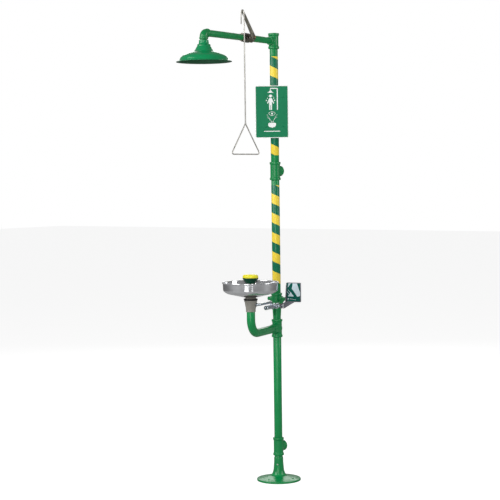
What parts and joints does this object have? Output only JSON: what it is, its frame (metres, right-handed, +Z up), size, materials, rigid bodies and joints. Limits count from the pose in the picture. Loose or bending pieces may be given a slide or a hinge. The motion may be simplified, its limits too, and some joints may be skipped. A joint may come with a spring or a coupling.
{
  "type": "combination shower and eyewash station",
  "caption": "Floor-mounted emergency shower and eye and face wash on one pole, with a pull rod, a bowl and a push flag.",
  "frame": {"origin": "middle of the floor flange's underside, on the pole's axis", "axes": "+Z up the pole, -Y along the shower arm, +Y out of the supply inlet and the waste outlet, +X the side of the shower valve's stem"},
  "size_m": [0.3434, 0.8395, 2.4185],
  "materials": {
    "pole_green": "satin powder coat",
    "head_green": "glossy moulded plastic",
    "stripe_tape": "striped tape, safety yellow and dark green",
    "sign_face": "printed sign, green with white pictograms",
    "zinc_steel": "zinc plated steel",
    "dark_valve": "dark plated forged brass",
    "ball_chrome": "polished chrome plate",
    "seat_white": "white seal plastic",
    "stem_brass": "machined brass",
    "lever_steel": "dull stainless steel",
    "rod_steel": "drawn stainless steel rod",
    "bowl_steel": "bright spun stainless steel",
    "gasket_black": "black rubber",
    "drain_grey": "taupe grey moulded plastic",
    "wash_green": "dark green moulded plastic",
    "cover_yellow": "bright yellow moulded plastic",
    "line_chrome": "chrome plated brass",
    "screen_steel": "woven stainless screen",
    "flag_cast": "grey cast aluminium",
    "flag_print": "printed label, dark teal with pale figures"
  },
  "bodies": {
    "station": {"arm_elbow": "pole_green", "arm_nipple": "pole_green", "arm_pipe": "pole_green", "base_pipe": "pole_green", "blanking_disc": "zinc_steel", "bowl": "bowl_steel", "bowl_gasket": "gasket_black", "bowl_locknut": "drain_grey", "drain_body": "drain_grey", "drain_pipe": "pole_green", "drain_strainer": "bowl_steel", "drain_tee": "pole_green", "drop_nipple": "pole_green", "eye_packing_nut": "line_chrome", "eye_valve_body": "line_chrome", "eye_valve_end": "line_chrome", "eye_valve_seats": "seat_white", "feed_fitting": "pole_green", "feed_pipe": "line_chrome", "feed_plug": "pole_green", "flange_set_screw": "zinc_steel", "floor_flange": "pole_green", "head_body": "wash_green", "head_deflector": "head_green", "head_hub": "head_green", "head_riser": "line_chrome", "lower_pole_pipe": "pole_green", "lower_riser": "pole_green", "lower_tape": "stripe_tape", "nozzle_deck": "wash_green", "shower_bell": "head_green", "shower_packing_nut": "dark_valve", "shower_valve_body": "dark_valve", "shower_valve_end": "dark_valve", "shower_valve_seats": "seat_white", "sign_clamps": "zinc_steel", "sign_plate": "sign_face", "sign_screws": "zinc_steel", "strainer_body": "line_chrome", "strainer_cap": "line_chrome", "strainer_screen": "screen_steel", "supply_tee": "pole_green", "supply_tube": "line_chrome", "top_plug": "pole_green", "top_tee": "pole_green", "tube_nut": "line_chrome", "upper_riser": "pole_green", "upper_tape": "stripe_tape", "waste_tee": "pole_green"},
    "shower_handle": {"shower_lever": "lever_steel", "lever_nut": "dark_valve", "shower_valve_stem": "stem_brass", "shower_valve_ball": "ball_chrome"},
    "pull_rod": {"pull_rod": "rod_steel"},
    "push_flag": {"flag_lever": "flag_cast", "flag_decal": "flag_print", "flag_nut": "line_chrome", "eye_valve_stem": "stem_brass", "eye_valve_ball": "ball_chrome"},
    "dust_cover": {"dust_cover": "cover_yellow"}
  },
  "joints": [
    {"name": "shower_lever_turn", "type": "hinge", "parent": "station", "child": "shower_handle", "pos_m": [0, -0.236, 2.287], "axis": [1, 0, 0], "range_deg": [0, 90]},
    {"name": "pull_rod_swing", "type": "hinge", "parent": "shower_handle", "child": "pull_rod", "pos_m": [0.044, -0.32868, 2.40999], "axis": [1, 0, 0], "range_deg": [-90, 0]},
    {"name": "push_flag_turn", "type": "hinge", "parent": "station", "child": "push_flag", "pos_m": [0.06767, -0.10705, 0.926], "axis": [-0.9816, -0.1908, 0], "range_deg": [0, 90]},
    {"name": "dust_cover_lift", "type": "slide", "parent": "station", "child": "dust_cover", "axis": [0, 0, 1], "range_m": [0, 0.08]}
  ],
  "couplings": [
    {"joint": "pull_rod_swing", "follows": "shower_lever_turn", "ratio": -1}
  ]
}
